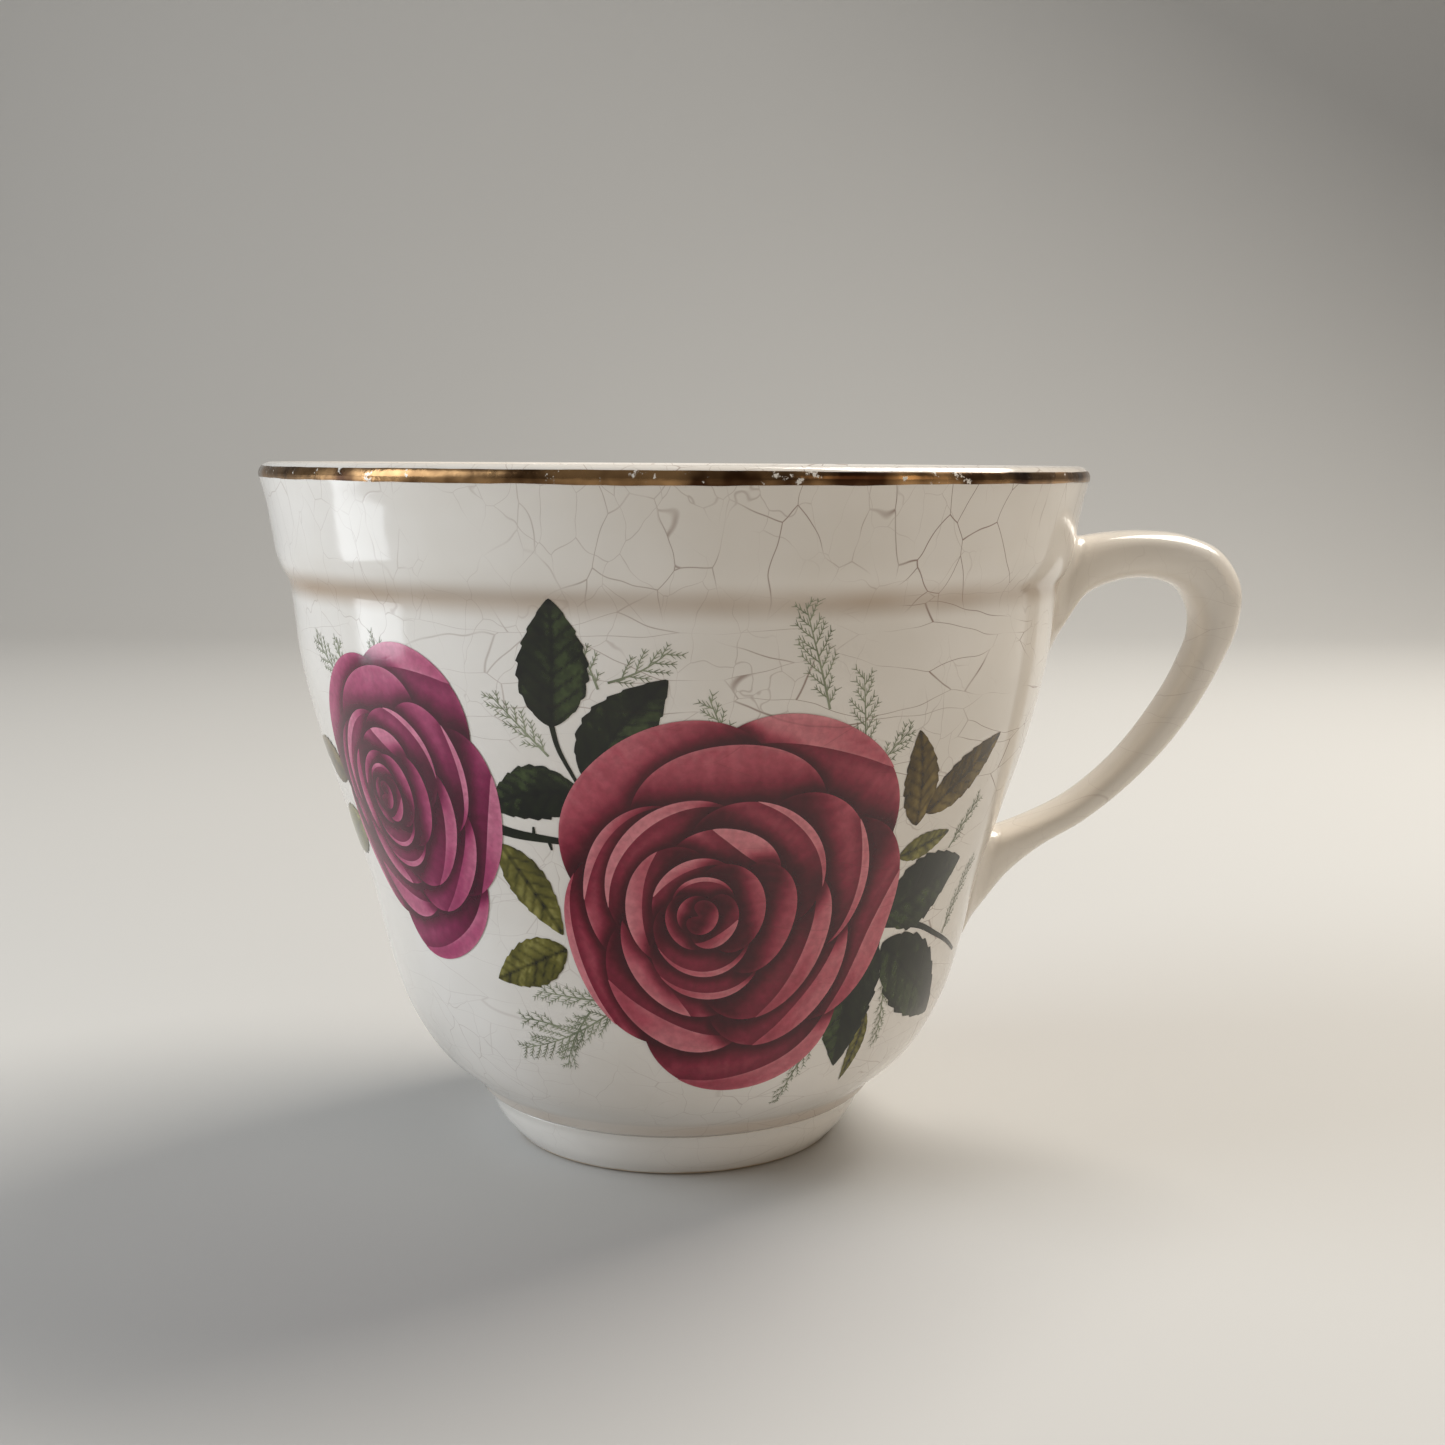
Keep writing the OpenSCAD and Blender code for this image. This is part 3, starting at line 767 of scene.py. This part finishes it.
DARK, OLIVE, BRONZE = "dark", "olive", "bronze"
LEAVES = [
    (-39, 38.2, -47, 41, 4.4, 0, BRONZE), (-39.2, 33.6, -47.6, 29.4, 5.2, 0, OLIVE),
    (24.7, 35.2, 22.3, 45.2, 4.2, 0.3, BRONZE), (25.6, 36.4, 35, 43.5, 4.4, 0, BRONZE),
    (23.4, 32, 30.4, 33.9, 2.6, 0, OLIVE), (23.6, 15.5, 23.4, 6.8, 2.2, 0, OLIVE),
    (-16.9, 34.2, -11.6, 25, 4.4, 0, OLIVE), (-11.4, 23.6, -20.3, 19.6, 4.8, 0, OLIVE),
    (-10.3, 46.2, -9.9, 57.8, 6.0, 0.2, DARK), (-7.8, 41.4, -0.6, 50.8, 5.8, -0.4, DARK),
    (-8.1, 40, -17.5, 37.8, 5.4, 0.8, DARK), (24.1, 22.7, 38.4, 12.3, 7.6, 0, DARK),
    (22.9, 23, 21, 9.3, 7.4, 1.6, DARK), (23.4, 25.8, 34.8, 30.2, 8, 0, DARK)]
STEMS = [
    ([(-10.3, 46.6), (-9.9, 44.3), (-9, 42.1), (-8, 40.2), (-6.8, 39.2)], 0.5),
    ([(-17.8, 36), (-15, 35.4), (-12, 35.1), (-8.4, 34.8)], 1.15),
    ([(-13.2, 35.2), (-13.1, 36.3)], 0.45), ([(-11.8, 35.1), (-11.6, 34)], 0.45),
    ([(-9.9, 35), (-9.8, 36.1)], 0.45), ([(22.8, 25.8), (23.4, 24), (23.6, 22)], 0.5),
    ([(23.6, 24.8), (30, 23.6), (34, 22), (38, 20.4), (42, 18.6)], 0.8)]
LEAF_TONES = {
    DARK: [(0.0, (0.035, 0.04, 0.025)), (0.5, (0.095, 0.12, 0.05)), (1.0, (0.28, 0.34, 0.18))],
    OLIVE: [(0.0, (0.16, 0.15, 0.05)), (0.5, (0.40, 0.38, 0.15)), (1.0, (0.66, 0.63, 0.36))],
    BRONZE: [(0.0, (0.16, 0.11, 0.04)), (0.5, (0.34, 0.27, 0.10)), (1.0, (0.54, 0.46, 0.23))]}


def leaf_frame(leaf):
    """A leaf's base, its two directions, along and to the right, and its length. A sprig's too."""
    base, tip = np.array(leaf[0:2], float), np.array(leaf[2:4], float)
    length = np.linalg.norm(tip - base)
    along = (tip - base) / length
    return base, along, np.array([along[1], -along[0]]), length


def leaf_outline(leaf):
    """A pointed leaf with small teeth."""
    base, along, right, length = leaf_frame(leaf)
    width, bow = leaf[4], leaf[5]
    t = np.linspace(0, 1, 61)
    half = width / 2 * np.sin(math.pi * t ** 0.8) ** 0.85
    half *= 1 + 0.12 * (0.5 - (t * 8) % 1) * (t > 0.1) * (t < 0.95)
    centre = base + np.outer(t * length, along) + np.outer(bow * np.sin(math.pi * t), right)
    loop = np.vstack([centre + half[:, None] * right, (centre - half[:, None] * right)[-2:0:-1]])
    return evenly(loop, leaf_edge, closed=True)


def leaf_tone(p, leaf):
    """Shade of a leaf: a dark midrib and side veins, and a paler side."""
    base, along, right, length = leaf_frame(leaf)
    x, y = (p - base) @ along, (p - base) @ right
    y = y - leaf[5] * np.sin(math.pi * np.clip(x / length, 0, 1))
    midrib = np.exp(-(y / 0.16) ** 2)
    spacing = max(1.1, length / 7.5)
    vein = (x - np.abs(y) * 0.9) / spacing
    side_vein = np.exp(-((vein - np.round(vein)) * spacing / 0.17) ** 2) * (np.abs(y) < 0.40 * leaf[4])
    value = 0.55 + 0.11 * np.sign(y) * np.minimum(np.abs(y), 1)
    value += 0.22 * grain(p, 0.9, 1.6, 7) + 0.12 * grain(p, 0.35, 0.35, 9)
    value -= 0.50 * midrib + 0.34 * side_vein + 0.20 * (np.abs(y) > 0.42 * leaf[4])
    return value


def strip_outline(path, width):
    """A stem's outline, which thins to its end."""
    curve = evenly(spline(path, 6), 0.4) if len(path) > 2 else np.array(path, float)
    way = np.gradient(curve, axis=0)
    side = np.stack([way[:, 1], -way[:, 0]], 1) / np.linalg.norm(way, axis=1)[:, None]
    half = width / 2 * np.linspace(1, 0.45, len(curve))[:, None]
    return np.vstack([curve + half * side, (curve - half * side)[::-1]])


def leaf_prints():
    """The stems and, over them, the leaves, as one film on each side."""
    loops = [strip_outline(path, width) for path, width in STEMS] + [leaf_outline(leaf) for leaf in LEAVES]
    layer = flat_mesh(loops, leaf_grid)
    flat, triangles, top = layer
    corners, owner = flat[triangles.ravel()], np.repeat(top, 3)
    colours = np.zeros((len(corners), 3))
    for k in range(len(loops)):
        mine = owner == k
        p = corners[mine]
        leaf = LEAVES[k - len(STEMS)] if k >= len(STEMS) else None
        tone = leaf_tone(p, leaf) if leaf else 0.35 + 0.2 * grain(p, 0.8, 0.8, 4)
        colours[mine] = blend_stops(np.clip(tone, 0, 1), LEAF_TONES[leaf[6] if leaf else DARK])
    for side, turn in SIDES:
        painted_film(f"{side}_leaves", layer, colours, leaf_lift, turn, leaf_print, "leaf_transfer",
                     f"{side}_leaf_print")


leaf_prints()


# ---- fern sprigs: [base u, base v, tip u, tip v, width, bow], each a stem with needled twigs

stem_width, twig_width, needle_width = 0.22, 0.13, 0.10
twig_gap = 0.55                               # from one twig of a sprig to the next
SPRIGS = [
    (-10.8, 43.4, -15.6, 49, 2.6, 0), (-6.2, 49.8, -7.4, 53.4, 2.0, 0), (-5.4, 50.4, -0.3, 53.4, 3.0, 0.4),
    (4.2, 45, 2.6, 49.2, 2.2, 0), (12.8, 47.8, 10.1, 57.4, 3.2, 0), (17, 41.6, 15.6, 51, 3.0, 0),
    (17.4, 41, 21.4, 45.6, 2.6, 0), (-33, 47.8, -38.2, 52.6, 3.0, 0), (-33, 48.6, -33.6, 52.8, 2.2, 0),
    (-28.4, 50.2, -27.6, 53, 2.4, 0), (-5.4, 18.4, -18.9, 12, 4.2, -0.8), (-8, 18.4, -15.4, 18.9, 2.6, 0),
    (17, 13.4, 14, 4.8, 2.2, 0.6), (31.4, 31.8, 34.6, 37, 2.2, 0), (25.6, 19, 27, 11, 2.2, 0),
    (36, 21.6, 39.4, 29.4, 3.0, 0), (-9.4, 17.2, -13.2, 10.4, 2.8, 0.4), (-13.4, 15.2, -18.2, 15.6, 2.2, 0.2)]


def stroke(points, faces, path, width, turn):
    """A tapered brush stroke on the wall, added to the points and faces. Its lift differs a little from
    its neighbours', so that strokes that cross don't fight for one surface."""
    path = evenly(np.array(path, float), 0.6)
    way = np.gradient(path, axis=0)
    side = np.stack([way[:, 1], -way[:, 0]], 1) / np.linalg.norm(way, axis=1)[:, None]
    half = (width / 2 * np.linspace(1, 0.3, len(path)))[:, None]
    start = len(points)
    lift = fern_lift + 0.00002 * (start % 400)
    ring, normals = on_wall(np.vstack([path - half * side, path + half * side]), lift, turn)
    points.extend(zip(ring, normals))
    n = len(path)
    faces.extend((start + k, start + n + k, start + n + k + 1, start + k + 1) for k in range(n - 1))


def fern(points, faces, sprig, turn, rng):
    """A sprig: a stem, twigs to the left and right by turns, and pairs of needles along each twig."""
    base, along, right, length = leaf_frame(sprig)
    width, bow = sprig[4], sprig[5]

    def stem(t):
        return base + along * t * length + right * bow * math.sin(math.pi * t)

    stroke(points, faces, [stem(t) for t in np.linspace(0, 1, 9)], stem_width, turn)
    twigs = int(length / twig_gap)
    for k in range(1, twigs):
        t = k / twigs
        hand = 1 if k % 2 else -1
        reach = width / 2 * (math.sin(math.pi * (0.22 + 0.68 * t)) ** 0.7) * rng.uniform(0.7, 1.15)
        way = along * rng.uniform(0.8, 1.05) + right * hand * rng.uniform(0.6, 0.9)
        way = way / np.linalg.norm(way)
        start = stem(t)
        tip = start + way * reach * 1.3 + along * reach * 0.2
        stroke(points, faces, [start, start + way * reach * 0.6, tip], twig_width, turn)
        for part in np.arange(0.2, 0.95, 0.32 / max(reach, 0.5)):
            foot = start + (tip - start) * part
            for lean in (-1, 1):
                needle = way * 0.85 + np.array([way[1], -way[0]]) * lean * 0.6
                end = foot + needle * 0.55 * rng.uniform(0.6, 1.2)
                stroke(points, faces, [foot, end], needle_width, turn)


def fern_prints():
    """All the sprigs, as one piece on each side. Both sides draw the same random values."""
    for side, turn in SIDES:
        rng = np.random.default_rng(41)
        points, faces = [], []
        for sprig in SPRIGS:
            fern(points, faces, sprig, turn, rng)
        places = np.array([p for p, _ in points])
        piece = make_piece(f"{side}_ferns", places, faces, fern_print, "fern_transfer", f"{side}_fern_print",
                           [n for _, n in points])
        corner = np.array([loop.vertex_index for loop in piece.data.loops])
        level = 0.5 + 0.5 * grain(places[corner][:, [0, 2]], 1.5, 1.5, 3)
        paint(piece, blend_stops(level, [(0, (0.43, 0.46, 0.36)), (1, (0.60, 0.62, 0.52))]))


fern_prints()


# ---- the stage, the light and the camera

def stage():
    """A pale floor that curves up behind the cup."""
    start, bend = 0.55, 0.35                  # where the floor starts to curve up, and the curve's radius
    section = [(-1.5, 0.0), (start, 0.0)]
    section += [(start + bend * math.sin(a), bend * (1 - math.cos(a)))
                for a in np.linspace(0.05, math.pi / 2, 20)]
    section += [(start + bend, 1.8)]
    points = [(x, y, z) for y, z in section for x in (-2.0, 2.0)]
    faces = [(2 * k, 2 * k + 1, 2 * k + 3, 2 * k + 2) for k in range(len(section) - 1)]
    mesh = bpy.data.meshes.new("stage_floor")
    mesh.from_pydata(points, [], faces)
    mesh.polygons.foreach_set("use_smooth", [True] * len(faces))
    n = Nodes("pale_floor")
    tint = n.mix(n.noise(3, 2.0), srgb(0.74, 0.735, 0.725), srgb(0.76, 0.755, 0.745))
    n.put(n.shader.inputs["Base Color"], tint)
    n.put(n.shader.inputs["Roughness"], 0.7)
    mesh.materials.append(n.material)
    floor = bpy.data.objects.new("stage_floor", mesh)
    bpy.context.scene.collection.objects.link(floor)


def area_light(name, place, target, size, power, colour):
    """A rectangle of light at a place, which faces a target."""
    light = bpy.data.lights.new(name, "AREA")
    light.shape = "RECTANGLE"
    light.size, light.size_y = size
    light.energy = power
    light.color = colour
    lamp = bpy.data.objects.new(name, light)
    lamp.location = place
    lamp.rotation_euler = (Vector(target) - Vector(place)).to_track_quat("-Z", "Y").to_euler()
    bpy.context.scene.collection.objects.link(lamp)


def lights():
    """A cool window at the left, a warm room at the right, and soft light from above and behind."""
    middle, left_wall = (0, 0, 0.04), (-0.04, -0.01, 0.05)
    area_light("window_left", (-0.70, -0.16, 0.36), middle, (0.45, 0.60), 4.2, (0.84, 0.92, 1.0))
    area_light("fill_right", (0.75, -0.55, 0.35), middle, (0.6, 0.5), 1.1, (1.0, 0.79, 0.54))
    area_light("top_back", (0.34, 0.26, 0.60), middle, (0.40, 0.40), 6.0, (1.0, 0.95, 0.87))
    area_light("low_pane", (-0.21, -0.01, 0.036), left_wall, (0.07, 0.055), 0.04, (0.90, 0.95, 1.0))
    world = bpy.data.worlds.new("studio")
    world.use_nodes = True
    sky = world.node_tree.nodes["Background"]
    sky.inputs["Color"].default_value = (0.90, 0.86, 0.81, 1)
    sky.inputs["Strength"].default_value = 0.25
    bpy.context.scene.world = world


def camera():
    """A camera level with the rim, which looks slightly down and to the right of the cup."""
    distance, height = 0.197, 0.072
    down, yaw, roll = math.radians(8.1), math.radians(1.458), math.radians(0.35)
    ahead = Vector((math.sin(yaw), math.cos(yaw), 0))
    right = Vector((math.cos(yaw), -math.sin(yaw), 0))
    upright = Vector((0, 0, 1))
    forward = ahead * math.cos(down) - upright * math.sin(down)
    up = ahead * math.sin(down) + upright * math.cos(down)
    x = right * math.cos(roll) + up * math.sin(roll)
    y = up * math.cos(roll) - right * math.sin(roll)
    lens = bpy.data.cameras.new("camera")
    lens.sensor_width = 36
    lens.lens = 46.09
    lens.clip_start = 0.01
    eye = bpy.data.objects.new("camera", lens)
    eye.matrix_world = Matrix((x, y, -forward)).transposed().to_4x4()
    eye.location = (0, -distance, height)
    bpy.context.scene.collection.objects.link(eye)
    bpy.context.scene.camera = eye


stage()
lights()
camera()
bpy.context.scene.view_settings.view_transform = "Standard"
